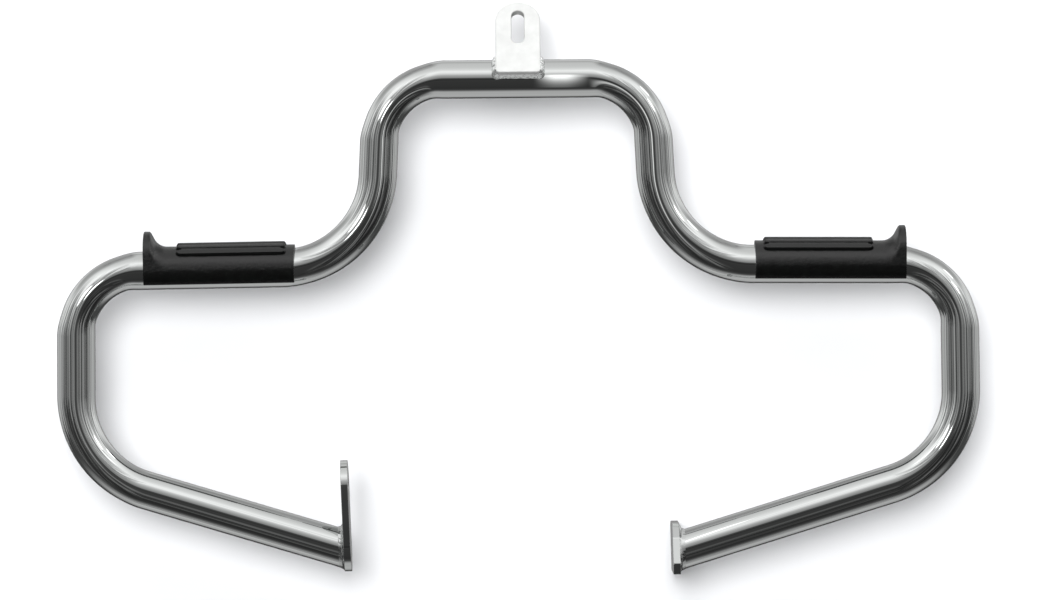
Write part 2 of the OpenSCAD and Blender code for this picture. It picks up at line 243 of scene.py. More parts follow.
def add_sheet(name, corners, material):
    """Adds one flat sheet of the studio, from corners in metres, that no reflection and
    no bounced light sees."""
    mesh = bpy.data.meshes.new(name)
    mesh.from_pydata(corners, [], [(0, 1, 2, 3)])
    mesh.materials.append(material)
    sheet = bpy.data.objects.new(name, mesh)
    sheet.visible_glossy = sheet.visible_diffuse = sheet.visible_shadow = False
    bpy.context.scene.collection.objects.link(sheet)
    return sheet


def new_material(name, values=()):
    """A new node material, its tree and its Principled shader with the values set."""
    material = bpy.data.materials.new(name)
    material.use_nodes = True
    tree = material.node_tree
    shader = tree.nodes["Principled BSDF"]
    for key, value in dict(values).items():
        shader.inputs[key].default_value = value
    return material, tree, shader


def add_sun(name, strength, softness, height, turn):
    """Adds a light of parallel rays, soft by its angle, that chrome doesn't mirror. It
    comes from the height above the horizon, turned to the left of the camera."""
    lamp = bpy.data.lights.new(name, "SUN")
    lamp.energy, lamp.angle = strength, math.radians(softness)
    sun = bpy.data.objects.new(name, lamp)
    sun.rotation_euler = (math.radians(90 - height), 0, math.radians(-turn))
    sun.visible_glossy = False
    bpy.context.scene.collection.objects.link(sun)


add_sun("key_light", strength=2.8, softness=29, height=12, turn=7.5)
add_sun("top_light", strength=2.1, softness=50, height=74, turn=10)

# White paper stands close behind the bar and catches its shadow. The material is a flat
# off-white without shine, and clear from behind, so that views from there see the bar
WALL_GAP, WALL_HALF, WALL_TOP, FLOOR_DROP, FLOOR_HALF = 0.06, 0.47, 0.06, 0.03, 6
wall_y = TUBE_PLANE_Y_MM * MM + WALL_GAP
floor_z = float(cad_box[0][2]) - FLOOR_DROP
paper, tree, shader = new_material(
    "white_paper", {"Base Color": linear("#e4e5e7"), "Roughness": 0.9},
)
rear = add_node(tree, "ShaderNodeNewGeometry").outputs["Backfacing"]
clear = add_node(tree, "ShaderNodeBsdfTransparent")
one_sided = add_node(
    tree, "ShaderNodeMixShader", {0: rear, 1: shader.outputs[0], 2: clear.outputs[0]},
)
tree.links.new(one_sided.outputs[0], tree.nodes["Material Output"].inputs["Surface"])
add_sheet("backdrop", [
    (-WALL_HALF, wall_y, floor_z), (WALL_HALF, wall_y, floor_z),
    (WALL_HALF, wall_y, WALL_TOP), (-WALL_HALF, wall_y, WALL_TOP),
], paper)
add_sheet("floor", [
    (-FLOOR_HALF, -FLOOR_HALF, floor_z), (FLOOR_HALF, -FLOOR_HALF, floor_z),
    (FLOOR_HALF, FLOOR_HALF, floor_z), (-FLOOR_HALF, FLOOR_HALF, floor_z),
], paper)

# A lit strip hangs close in front of the top tube, brightest at the tube's own height,
# and only the chrome shows it: a white patch that fades down into the dark band
STRIP_Y, STRIP_TOP, STRIP_FOOT, STRIP_LEFT, STRIP_RIGHT = -0.4, 0.15, -0.75, 0.01, 0.066
STRIP_BRIGHT_Z, STRIP_FADE, STRIP_MOST, STRIP_LEAST = -0.04, 0.14, 1.37, 0.13
EDGE_GAP, LEFT_SOFT, RIGHT_SOFT, TOP_SOFT, FOOT_SOFT = 0.002, 0.024, 0.026, 0.09, 0.2
lit, tree, _ = new_material("lit_strip")
at = add_node(tree, "ShaderNodeTexCoord").outputs["Object"]
split = add_node(tree, "ShaderNodeSeparateXYZ", {0: at})
x, z = split.outputs["X"], split.outputs["Z"]
below = maths(tree, "MINIMUM", maths(tree, "SUBTRACT", z, STRIP_BRIGHT_Z), 0)
glow = maths(tree, "EXPONENT", maths(tree, "MULTIPLY", below, 1 / STRIP_FADE))
glow = maths(tree, "MULTIPLY_ADD", glow, STRIP_MOST, STRIP_LEAST)
# Soft edges, to the left, to the right, at the top and at the foot
for value, low, high, start, end in (
    (x, STRIP_LEFT + EDGE_GAP, STRIP_LEFT + LEFT_SOFT, 0, 1),
    (x, STRIP_RIGHT - RIGHT_SOFT, STRIP_RIGHT - EDGE_GAP, 1, 0),
    (z, STRIP_TOP - TOP_SOFT, STRIP_TOP, 1, 0),
    (z, STRIP_FOOT, STRIP_FOOT + FOOT_SOFT, 0, 1),
):
    glow = maths(tree, "MULTIPLY", glow, spread(tree, value, low, high, start, end))
light = add_node(tree, "ShaderNodeEmission", {"Strength": glow})
clear = add_node(tree, "ShaderNodeBsdfTransparent")
both = add_node(tree, "ShaderNodeAddShader", {0: light.outputs[0], 1: clear.outputs[0]})
tree.links.new(both.outputs[0], tree.nodes["Material Output"].inputs["Surface"])
lit_strip = add_sheet("lit_strip", [
    (STRIP_LEFT, STRIP_Y, STRIP_FOOT), (STRIP_RIGHT, STRIP_Y, STRIP_FOOT),
    (STRIP_RIGHT, STRIP_Y, STRIP_TOP), (STRIP_LEFT, STRIP_Y, STRIP_TOP),
], lit)
lit_strip.visible_camera, lit_strip.visible_glossy = False, True


# Bar. One 31.75 mm steel tube, bent eight times in a flat plane on a mandrel, polished
# and chrome plated. The tight bends flatten a little in the plane of the bar.
TUBE_R = 31.75 / 2
TIGHT_RADIUS, WIDE_RADIUS = 54, 81
LEG_LEAN, SHOULDER_FALL, OUTER_LEAN, ARM_SLOPE = 2.75, 0.55, 0.35, 16.9
HALF_ROUTE = [
    (59.5, TIGHT_RADIUS, 90 - LEG_LEAN),
    (26.2, WIDE_RADIUS, -(90 - LEG_LEAN - SHOULDER_FALL)),
    (117, TIGHT_RADIUS, 90 - OUTER_LEAN - SHOULDER_FALL),
    (50, WIDE_RADIUS, 90 + OUTER_LEAN - ARM_SLOPE),
]
LEFT_ARM, RIGHT_ARM = 170, 184
LEFT_PLATE_LEAN, RIGHT_PLATE_LEAN = 2, -1
TAB_LEN, TAB_LAP, TAB_LEAN, TAB_OFFSET = 69.8, 8.1, math.radians(32), 2
SLOT_LEN, SLOT_MARGIN = 32.3, 8.6
SLOT_UP = TAB_LEN - TAB_LAP - SLOT_MARGIN - SLOT_LEN / 2
SLOT_AT = np.array([
    TAB_OFFSET,
    SLOT_UP * math.sin(TAB_LEAN) - TUBE_R * math.cos(TAB_LEAN),
    SLOT_UP * math.cos(TAB_LEAN) + TUBE_R * math.sin(TAB_LEAN),
])
TIGHT_OVAL, WIDE_OVAL = 0.075, 0.02
TUBE_SIDES = 96
BEND_STEP_DEG, BEND_EASE, LAST_RING = 1.5, 0.2, 12


def walk(start, length):
    """Place and heading after a straight: start plus length along the heading, which
    is an angle below the horizontal."""
    x, z, heading = start
    a = math.radians(heading)
    return x + length * math.cos(a), z - length * math.sin(a), heading


def leg_places():
    """Where each leg of the half route starts, as (x, z, heading) in the bar's own
    frame. A bend moves by its radius times the change of (sin, cos) of the heading."""
    places = [(0.0, 0.0, 0.0)]
    for length, radius, turn in HALF_ROUTE:
        x, z, heading = walk(places[-1], length)
        a, b = math.radians(heading), math.radians(heading + turn)
        side = math.copysign(1, turn)
        places.append((
            x + side * radius * (math.sin(b) - math.sin(a)),
            z + side * radius * (math.cos(b) - math.cos(a)),
            heading + turn,
        ))
    return places


LEG_PLACES = leg_places()


def half_stations(arm):
    """Rows of (x, z, heading, flattening, distance) along one half of the bar. A bend's
    flattening rises and falls as a smooth step over its first and last fifth."""
    rows, run = [], 0.0
    for (length, radius, turn), start in zip(HALF_ROUTE, LEG_PLACES):
        x, z, heading = walk(start, length)
        rows.append(np.array([[start[0], start[1], heading, 0, run]]))
        run += length
        t = np.linspace(0, 1, round(abs(turn) / BEND_STEP_DEG) + 1)
        a, b = math.radians(heading), np.radians(heading + turn * t)
        side = math.copysign(1, turn)
        ease = np.clip(np.minimum(t, 1 - t) / BEND_EASE, 0, 1)
        most = TIGHT_OVAL if radius == TIGHT_RADIUS else WIDE_OVAL
        rows.append(np.column_stack([
            x + side * radius * (np.sin(b) - math.sin(a)),
            z + side * radius * (np.cos(b) - math.cos(a)),
            heading + turn * t,
            most * ease * ease * (3 - 2 * ease),
            run + radius * math.radians(abs(turn)) * t,
        ]))
        run += radius * math.radians(abs(turn))
    x, z, heading = LEG_PLACES[-1]
    for d in (arm - LAST_RING, arm):
        end = walk((x, z, heading), d)
        rows.append(np.array([[*end, 0, run + d]]))
    rows = np.vstack(rows)
    return rows[np.concatenate([[True], np.diff(rows[:, 4]) > 1e-6])]


def rings(stations, arm, lean):
    """Circles around the half route: centre + r (1 - flattening) cos(t) across the bar's
    plane + r sin(t) to the rear. The last one is slid along the tube onto its plate."""
    x, z, heading, flat, _ = stations.T
    h = np.radians(heading)[:, None]
    t = np.linspace(0, 2 * math.pi, TUBE_SIDES, endpoint=False)[None, :]
    across = TUBE_R * (1 - flat[:, None]) * np.cos(t)
    points = np.stack([
        x[:, None] + across * np.sin(h),
        np.broadcast_to(TUBE_R * np.sin(t), across.shape),
        z[:, None] + across * np.cos(h),
    ], axis=-1)
    lean, a = math.radians(lean), math.radians(heading[-1])
    out = np.array([math.cos(lean), 0, -math.sin(lean)])
    along = np.array([math.cos(a), 0, -math.sin(a)])
    end = np.array([x[-1], 0, z[-1]])
    slide = -((points[-1] - end) @ out) / (along @ out)
    points[-1] += slide[:, None] * along
    return points


def make_piece(name, grid, along=False, caps=False):
    """Makes a mesh object from a grid of points in mm: rows that are closed rings, and
    the last row joins the first too where along is true. Caps close the two ends with
    flat faces. The place of each point goes in as metres."""
    n, k = grid.shape[:2]
    i = np.arange(n if along else n - 1)[:, None]
    j = np.arange(k)[None, :]
    i2, j2 = (i + 1) % n, (j + 1) % k
    quads = np.stack([i * k + j, i * k + j2, i2 * k + j2, i2 * k + j], axis=-1)
    faces = quads.reshape(-1, 4).tolist()
    if caps:
        faces += [list(range(k))[::-1], [(n - 1) * k + m for m in range(k)]]
    mesh = bpy.data.meshes.new(name)
    mesh.from_pydata((grid.reshape(-1, 3) * MM).tolist(), [], faces)
    mesh.polygons.foreach_set("use_smooth", np.ones(len(mesh.polygons), dtype=bool))
    mesh.validate()
    piece = bpy.data.objects.new(name, mesh)
    bpy.context.scene.collection.objects.link(piece)
    return piece


def finish_edges(piece, degrees=35):
    """Turns faces outwards and keeps edges sharper than the angle sharp."""
    work = bmesh.new()
    work.from_mesh(piece.data)
    bmesh.ops.remove_doubles(work, verts=work.verts, dist=1e-6)
    bmesh.ops.recalc_face_normals(work, faces=work.faces)
    work.to_mesh(piece.data)
    work.free()
    piece.data.set_sharp_from_angle(angle=math.radians(degrees))


def add_bump(tree, shader, height, strength, distance):
    """Bumps a shader's surface by a height socket, over a distance in metres."""
    bump = add_node(
        tree, "ShaderNodeBump",
        {"Height": height, "Strength": strength, "Distance": distance},
    )
    tree.links.new(bump.outputs[0], shader.inputs["Normal"])


MIRROR = np.array([-1, 1, 1])
right = rings(half_stations(RIGHT_ARM), RIGHT_ARM, RIGHT_PLATE_LEAN)
left = rings(half_stations(LEFT_ARM), LEFT_ARM, LEFT_PLATE_LEAN) * MIRROR
bar = make_piece("chrome_bar", np.concatenate([left[:0:-1], right]) - SLOT_AT, caps=True)
finish_edges(bar)

# Chrome mirrors the tent as sharp bands. A faint haze softens them in patches, and the
# waves that polishing leaves in the steel make their edges swim a little
chrome, tree, shader = new_material(
    "chrome_plate_on_polished_steel", {"Base Color": linear("#cdcfce"), "Metallic": 1.0},
)
at = add_node(tree, "ShaderNodeTexCoord").outputs["Object"]
rough = add_node(tree, "ShaderNodeMapRange", {
    "Value": noise(tree, at, scale=60.0, detail=3.0),
    "From Min": 0.3, "From Max": 0.7, "To Min": 0.01, "To Max": 0.045,
})
tree.links.new(rough.outputs[0], shader.inputs["Roughness"])
wave = noise(tree, at, scale=35.0, detail=1.0)
add_bump(tree, shader, wave, strength=1.0, distance=0.00004)
bar.data.materials.append(chrome)
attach(bar, "root")
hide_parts("bar_tube")


# Top tab. A 6.35 mm steel plate with a round top and an upright slot, cut and tumbled,
# then bright plated with a satin face. It leans back 32 degrees from its weld.
TAB_W, TAB_T, TAB_CORNER, TAB_EDGE = 37, 6.35, 3, 0.9
SLOT_W = 10.4
LOOP_POINTS, ARC_POINTS, FLAT_RIM = 360, 96, 0.1


def outline(corners, radii):
    """Points of a rounded polygon at equal steps along its length, anticlockwise from
    the middle of its first edge. Each corner is an arc of its radius: the corner, moved
    in by r / sin(half its angle) along its bisector, plus r (cos, sin)."""
    corners = np.array(corners, dtype=float)
    n, dense = len(corners), [(corners[0] + corners[1]) / 2]
    for k in list(range(1, n)) + [0]:
        a, p, b = corners[k - 1], corners[k], corners[(k + 1) % n]
        to_a, to_b = (a - p) / np.linalg.norm(a - p), (b - p) / np.linalg.norm(b - p)
        middle = (to_a + to_b) / np.linalg.norm(to_a + to_b)
        half = math.acos(np.clip(to_a @ middle, -1, 1))
        centre = p + middle * radii[k] / math.sin(half)
        start = math.atan2(-to_a[0], to_a[1]) + math.pi
        sweep = math.pi - 2 * half
        t = start + np.linspace(0, sweep, ARC_POINTS)
        dense.extend(centre + radii[k] * np.column_stack([np.cos(t), np.sin(t)]))
    dense.append(dense[0])
    dense = np.array(dense)
    run = np.concatenate([[0], np.cumsum(np.hypot(*np.diff(dense, axis=0).T))])
    at = np.linspace(0, run[-1], LOOP_POINTS, endpoint=False)
    return np.column_stack([np.interp(at, run, line) for line in dense.T])


def normals(loop):
    """Unit normals of an anticlockwise loop, outwards: the chord between the points on
    each side, turned by a quarter."""
    chord = np.roll(loop, -1, axis=0) - np.roll(loop, 1, axis=0)
    chord /= np.linalg.norm(chord, axis=1)[:, None]
    return np.column_stack([chord[:, 1], -chord[:, 0]])


def plate_grid(outer, hole, thickness, edge):
    """A plate with one hole as a ring of loops: front face, outer edge, rear face and
    hole edge, with every edge rounded by a quarter circle of radius edge. A loop just
    off each rounding, by FLAT_RIM, keeps the flat faces flat to the eye."""
    turn = np.radians([0, 0, 22.5, 45, 67.5, 90, 90])
    inset, drop = edge * (1 - np.sin(turn)), edge * (1 - np.cos(turn))
    inset[0] += FLAT_RIM
    drop[-1] += FLAT_RIM
    loops = []
    for loop, normal in ((outer, normals(outer)), (hole, -normals(hole))):
        front = [(loop - normal * i, thickness - d) for i, d in zip(inset, drop)]
        rear = [(loop - normal * i, d) for i, d in zip(inset[::-1], drop[::-1])]
        loops.append(front + rear)
    rows = loops[0] + loops[1][::-1]
    return np.array([np.column_stack([xy, np.full(len(xy), z)]) for xy, z in rows])


def turn_about(axis, degrees):
    """Matrix that turns column vectors about X, Y or Z, anticlockwise seen from its tip."""
    c, s = math.cos(math.radians(degrees)), math.sin(math.radians(degrees))
    return np.array({
        "X": [[1, 0, 0], [0, c, -s], [0, s, c]],
        "Y": [[c, 0, s], [0, 1, 0], [-s, 0, c]],
        "Z": [[c, -s, 0], [s, c, 0], [0, 0, 1]],
    }[axis])


def on_tab(points):
    """Points (across, up, out) of the leaning tab in the row frame."""
    lie = 90 - math.degrees(TAB_LEAN)
    return points @ turn_about("X", lie).T + [TAB_OFFSET, 0, 0] - SLOT_AT


def tint(tree, shader, amount, stops):
    """Colours a shader between two (place, sRGB hex) stops, by an amount from 0 to 1."""
    ramp = add_node(tree, "ShaderNodeValToRGB", {0: amount})
    for element, (place, colour) in zip(ramp.color_ramp.elements, stops):
        element.position, element.color = place, linear(colour)
    tree.links.new(ramp.outputs[0], shader.inputs["Base Color"])


top, foot, tab_half = TAB_LEN - TAB_LAP, -TAB_LAP, TAB_W / 2
tab_loop = outline(
    [(-tab_half, foot), (tab_half, foot), (tab_half, top), (-tab_half, top)],
    [TAB_CORNER, TAB_CORNER, tab_half, tab_half],
)
slot_top = top - SLOT_MARGIN
slot_half = SLOT_W / 2
slot_loop = outline(
    [(-slot_half, slot_top - SLOT_LEN), (slot_half, slot_top - SLOT_LEN),
     (slot_half, slot_top), (-slot_half, slot_top)],
    [slot_half] * 4,
)
tab_grid = plate_grid(tab_loop, slot_loop, TAB_T, TAB_EDGE) + [0, 0, TUBE_R]
tab = make_piece("slotted_tab", on_tab(tab_grid), along=True)
finish_edges(tab)

# Satin zinc is a soft even grey: clouds of slightly lighter tone, and a fine tumbled
# grain that spreads every highlight
satin, tree, shader = new_material("satin_zinc_plate", {"Metallic": 0.3, "Roughness": 0.42})
at = add_node(tree, "ShaderNodeTexCoord").outputs["Object"]
cloud = noise(tree, at, scale=120.0, detail=4.0)
tint(tree, shader, cloud, [(0.3, "#b9bab9"), (0.7, "#c3c4c3")])
grain = noise(tree, at, scale=700.0, detail=2.0)
add_bump(tree, shader, grain, strength=0.4, distance=0.0001)
tab.data.materials.append(satin)
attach(tab, "root")
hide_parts("top_tab")


# End plates. Two strips of 6 mm steel with full-round ends and a bolt hole, polished
# and chromed with the tube. The left one stands up, the right one lies to the rear.
PLATE_T, PLATE_W, BOLT_REACH, BOLT_D, PLATE_RISE = 6, 31.75 + 2 * 5.1, 50, 10.5, 2
PLATE_EDGE = 0.4
NEAR_SHOULDER, NEAR_CORNER, NEAR_LEAN, NEAR_CUT = 9.2, 12.3, 17.2, (45, 20)
CUT_RADII = [1.5, 1.2, 1.2, 0.6]

plate_half = PLATE_W / 2
far = BOLT_REACH + plate_half
round_loop = outline(
    [(-plate_half, -plate_half), (plate_half, -plate_half), (plate_half, far),
     (-plate_half, far)],
    [plate_half] * 4,
)
rear = -plate_half + (NEAR_SHOULDER + NEAR_CORNER) * math.tan(math.radians(NEAR_LEAN))
top_cut, low_cut = (math.tan(math.radians(cut)) for cut in NEAR_CUT)
# Straight cuts of the right plate's near edge, from the top, each as (to the rear, up)
near_edge = np.array([
    (rear + (plate_half - NEAR_SHOULDER) * top_cut, plate_half),
    (rear, NEAR_SHOULDER),
    (-plate_half, -NEAR_CORNER),
    (-plate_half + (plate_half - NEAR_CORNER) * low_cut, -plate_half),
])
cut_loop = outline(
    [(-z, y) for y, z in near_edge] + [(plate_half, far), (-plate_half, far)],
    CUT_RADII + [plate_half] * 2,
)
bolt_half = BOLT_D / 2
bolt_loop = outline(
    [(-bolt_half, BOLT_REACH - bolt_half), (bolt_half, BOLT_REACH - bolt_half),
     (bolt_half, BOLT_REACH + bolt_half), (-bolt_half, BOLT_REACH + bolt_half)],
    [bolt_half] * 4,
)
ARM_START = LEG_PLACES[-1]


def on_plate(points, arm, lean):
    """Points (out towards the tube, to the rear, up) from the middle of a right arm's
    end in the bar's own frame: turned by the lean and moved to the end of the arm."""
    x, z, _ = walk(ARM_START, arm)
    return points @ turn_about("Y", lean).T + [x, 0, z]


# A strip lies flat with its length up; these turns stand it on the end of the tube
stand = turn_about("Z", 90) @ turn_about("X", 90)
for name, node, loop, arm, lean, lay, flip in (
    ("left_bolting_plate", "left_end_plate", round_loop, LEFT_ARM, LEFT_PLATE_LEAN, 0, MIRROR),
    ("right_bolting_plate", "right_end_plate", cut_loop, RIGHT_ARM, RIGHT_PLATE_LEAN, -90, 1),
):
    lying = plate_grid(loop, bolt_loop, PLATE_T, PLATE_EDGE)
    standing = lying @ stand.T @ turn_about("X", lay).T + [-PLATE_T, 0, PLATE_RISE]
    plate = make_piece(name, on_plate(standing, arm, lean) * flip - SLOT_AT, along=True)
    finish_edges(plate)
    plate.data.materials.append(chrome)
    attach(plate, "root")
    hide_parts(node)


# End welds. A bead run round each end of the tube in short overlapping pools, dressed to
# a hollow flare and chromed with the rest.
WELD_LEG, WELD_MARGIN, WELD_GAP = 4.4, 0.6, 0.08
POOL_LEN, POOL_BOW, WELD_SINK, POOL_SINK = 3.4, 0.35, 0.3, 0.07
WELD_ACROSS, POOL_STEPS = 10, 8


def plate_reach(t, cut):
    """Distance from the plate's middle to its edge at the angle t, from up to the rear:
    its half width, or d / (direction . normal) where a straight cut is nearer."""
    reach = np.full_like(t, PLATE_W / 2)
    cuts = [(NEAR_CUT[0], near_edge[1]), (NEAR_LEAN, near_edge[2])] if cut else []
    for slope, corner in cuts:
        a = math.radians(slope)
        out = np.maximum(-math.cos(a) * np.sin(t) + math.sin(a) * np.cos(t), 0.1)
        d = -math.cos(a) * corner[0] + math.sin(a) * corner[1]
        reach = np.minimum(reach, d / out)
    return reach


def end_weld(lean, cut):
    """Ring of weld in the frame of the plate. Across it, the face runs from the plate to
    the tube, sunk below the straight line by a share of sin(pi w). The share follows
    pools of equal length whose fronts bow along the run by POOL_BOW (1 - (2 w - 1)^2)."""
    fall = math.radians(ARM_SLOPE + lean)
    r = TUBE_R + WELD_GAP
    pools = round(2 * math.pi * TUBE_R / POOL_LEN)
    t = np.linspace(0, 2 * math.pi, pools * POOL_STEPS, endpoint=False)[:, None, None]
    w = np.linspace(0, 1, WELD_ACROSS + 1)[None, :, None]
    rim = plate_reach(t, cut) - WELD_MARGIN
    flat = np.full_like(t, WELD_GAP)
    corner = np.concatenate([flat, r * np.sin(t), r * np.cos(t) / math.cos(fall)], axis=2)
    edge = np.concatenate([flat, rim * np.sin(t), rim * np.cos(t) + PLATE_RISE], axis=2)
    foot = corner + np.array([math.cos(fall), 0, math.sin(fall)]) * WELD_LEG
    phase = (t / (2 * math.pi) * pools + POOL_BOW * (1 - (2 * w - 1) ** 2)) % 1
    sink = WELD_SINK + POOL_SINK * phase ** 1.5
    chord = edge + (foot - edge) * w
    face = chord + (corner - chord) * sink * np.sin(math.pi * w)
    return np.concatenate([corner, face], axis=1)


# The chromed bead shines like the tube but breaks the bands up into small glints
bead, tree, shader = new_material(
    "chromed_weld_bead",
    {"Base Color": linear("#cdcfce"), "Metallic": 1.0, "Roughness": 0.09},
)
at = add_node(tree, "ShaderNodeTexCoord").outputs["Object"]
lumps = noise(tree, at, scale=260.0, detail=1.0)
add_bump(tree, shader, lumps, strength=0.5, distance=0.0003)
for name, node, arm, lean, cut, flip in (
    ("left_plate_weld", "left_end_weld", LEFT_ARM, LEFT_PLATE_LEAN, False, MIRROR),
    ("right_plate_weld", "right_end_weld", RIGHT_ARM, RIGHT_PLATE_LEAN, True, 1),
):
    grid = on_plate(end_weld(lean, cut), arm, lean) * flip - SLOT_AT
    weld = make_piece(name, grid, along=True)
    finish_edges(weld, 60)
    weld.data.materials.append(bead)
    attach(weld, "root")
    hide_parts(node)


# Tab weld. One bead goes down one side of the tab, along under its foot and up the other
# side, in overlapping pools, and fills the corner between the tab and the tube.
TAB_WELD_CLIMB, TAB_WELD_TAPER, TAB_WELD_TIP, TAB_WELD_LAP = 9, 4, 0.1, 0.45
TAB_POOL_LEN, TAB_POOL_BOW, TAB_POOL_STEPS = 4.4, 0.45, 10
TAB_BULGE, TAB_POOL_BULGE = 0.52, 0.27
# Leg on the tube in mm and height on the tab as a share of its thickness, each under the
# tab's foot and beside it
UNDER_LEG, BESIDE_LEG, UNDER_WALL, BESIDE_WALL = 0.8, 3.5, 0.48, 0.88
side = TAB_WELD_CLIMB + TAB_LAP - TAB_CORNER
bend = math.pi / 2 * TAB_CORNER
weld_run = 2 * side + 2 * bend + TAB_W - 2 * TAB_CORNER


def tab_edge(s):
    """Place on the tab's edge and angle of its outward normal, s along the weld's left
    half: down the side, and round the corner with centre + r (cos, sin). The right half
    is its mirror image."""
    s, right = np.minimum(s, weld_run - s), s > weld_run / 2
    turn = np.pi + np.clip((s - side) / TAB_CORNER, 0, np.pi / 2)
    x = -TAB_W / 2 + TAB_CORNER * (1 + np.cos(turn)) + np.maximum(s - side - bend, 0)
    y = -TAB_LAP + TAB_CORNER * (1 + np.sin(turn)) + np.maximum(side - s, 0)
    return np.where(right, -x, x), y, np.where(right, np.pi - turn, turn)


def on_tube(place, d):
    """The tube's surface d out from the tab's edge: x + d cos, and around the tube by
    asin(y / r) + d sin / r."""
    x, y, turn = place
    r = TUBE_R + WELD_GAP
    around = np.arcsin(y / r) + d * np.sin(turn) / r
    return np.stack([x + d * np.cos(turn), r * np.sin(around), r * np.cos(around)], axis=-1)


def tab_weld():
    """Grid of the bead in the tab's frame, across from the tab to the tube. Its face
    stands out from the straight line by a share of sin(pi w), more in each pool, and the
    bead thins towards its two ends as a quarter of an ellipse. Two sines along the run
    make the pools as uneven as a hand does."""
    pools = round(weld_run / TAB_POOL_LEN)
    s = np.linspace(0, weld_run, pools * TAB_POOL_STEPS + 1)[:, None]
    w = np.linspace(0, 1, WELD_ACROSS + 1)[None, :, None]
    from_end = np.minimum(s, weld_run - s) + TAB_WELD_TIP
    from_end = np.clip(from_end / TAB_WELD_TAPER, 0, 1)
    thin = np.sqrt(1 - (1 - from_end) ** 2)
    place = tab_edge(s)
    x, y, turn = place
    beside = np.abs(np.cos(turn))
    leg = (UNDER_LEG + (BESIDE_LEG - UNDER_LEG) * beside) * thin
    height = TAB_T * (UNDER_WALL + (BESIDE_WALL - UNDER_WALL) * beside) * thin
    corner = on_tube(place, 2 * WELD_GAP)
    lap = TAB_WELD_LAP * np.clip(thin / 0.2 - 4, 0, 1)
    wall = np.stack([x - lap * np.cos(turn), y - lap * np.sin(turn), TUBE_R + height], axis=-1)
    foot = on_tube(place, leg)
    under = on_tube(place, leg / 2) + [0, 0, WELD_GAP]
    run = s[..., None]
    phase = (run / weld_run * pools + TAB_POOL_BOW * (1 - (2 * w - 1) ** 2)) % 1
    uneven = 1 + 0.25 * np.sin(run * 0.83) + 0.2 * np.sin(run * 2.1 + 1)
    bulge = TAB_BULGE + TAB_POOL_BULGE * uneven * np.sin(np.pi * phase ** 1.2)
    chord = wall + (foot - wall) * w
    face = chord - (corner - chord) * bulge * np.sin(np.pi * w ** 0.75)
    return np.concatenate([corner, face, under], axis=1)


# The zinc plated bead is wetter than the tab, with lumps that catch the light
# Painted light: its base colour is lighter than the tab's, standing in for the direct light on
# it
zinc_bead_painted_lit, tree, shader = new_material(
    "zinc_weld_bead_painted_lit",
    {"Base Color": linear("#e2e4e3"), "Metallic": 0.75, "Roughness": 0.12},
)
at = add_node(tree, "ShaderNodeTexCoord").outputs["Object"]
lumps = noise(tree, at, scale=500.0, detail=2.0)
add_bump(tree, shader, lumps, strength=0.9, distance=0.0008)
weld = make_piece("tab_foot_weld", on_tab(tab_weld()), caps=True)
finish_edges(weld, 70)
weld.data.materials.append(zinc_bead_painted_lit)
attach(weld, "root")
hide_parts("top_tab_weld")


# Foot pads. Black rubber saddles moulded with six ribs and a toe lip, pushed over the
# shoulders from above. They leave a strip of the tube bare along the underside.
PAD_LEN, PAD_R, PAD_BORE_R, PAD_SKIRT = 125, TUBE_R + 3.7, TUBE_R + 0.2, 12.2
LEFT_OVERRUN, RIGHT_OVERRUN = 11.2, -0.9
RIB_H, RIB_PITCH, RIB_GROOVE, RIB_START, RIB_END = 3, 19, 2, 7, 98
RIB_PLACES = (-2.5, -1.5, -0.5, 0.5, 1.5, 2.5)
GROOVE_DEPTH, RIB_TIP, RIB_FIELD = 0.8, 1.35, 62
LIP_H, LIP_T, LIP_HOLLOW, LIP_SLOPE = 12.8, 5.7, 12, math.radians(62)
RIB_EDGE, PAD_EDGE, LIP_EDGE = 1.4, 0.8, 1.4
END_HOLLOW, END_FIELD = 0.8, 3.5
RIB_MARGIN, RIB_RUN, RIB_ROWS, MIDDLE_ROWS, BEFORE_LIP = 0.4, 6.2, 26, (20, 85, 9), 103
SIDE_STEPS, LIFT_STEPS, TOP_STEPS, BORE_STEPS, ARC_ROWS, SLOPE_ROWS = 20, 10, 200, 49, 16, 10


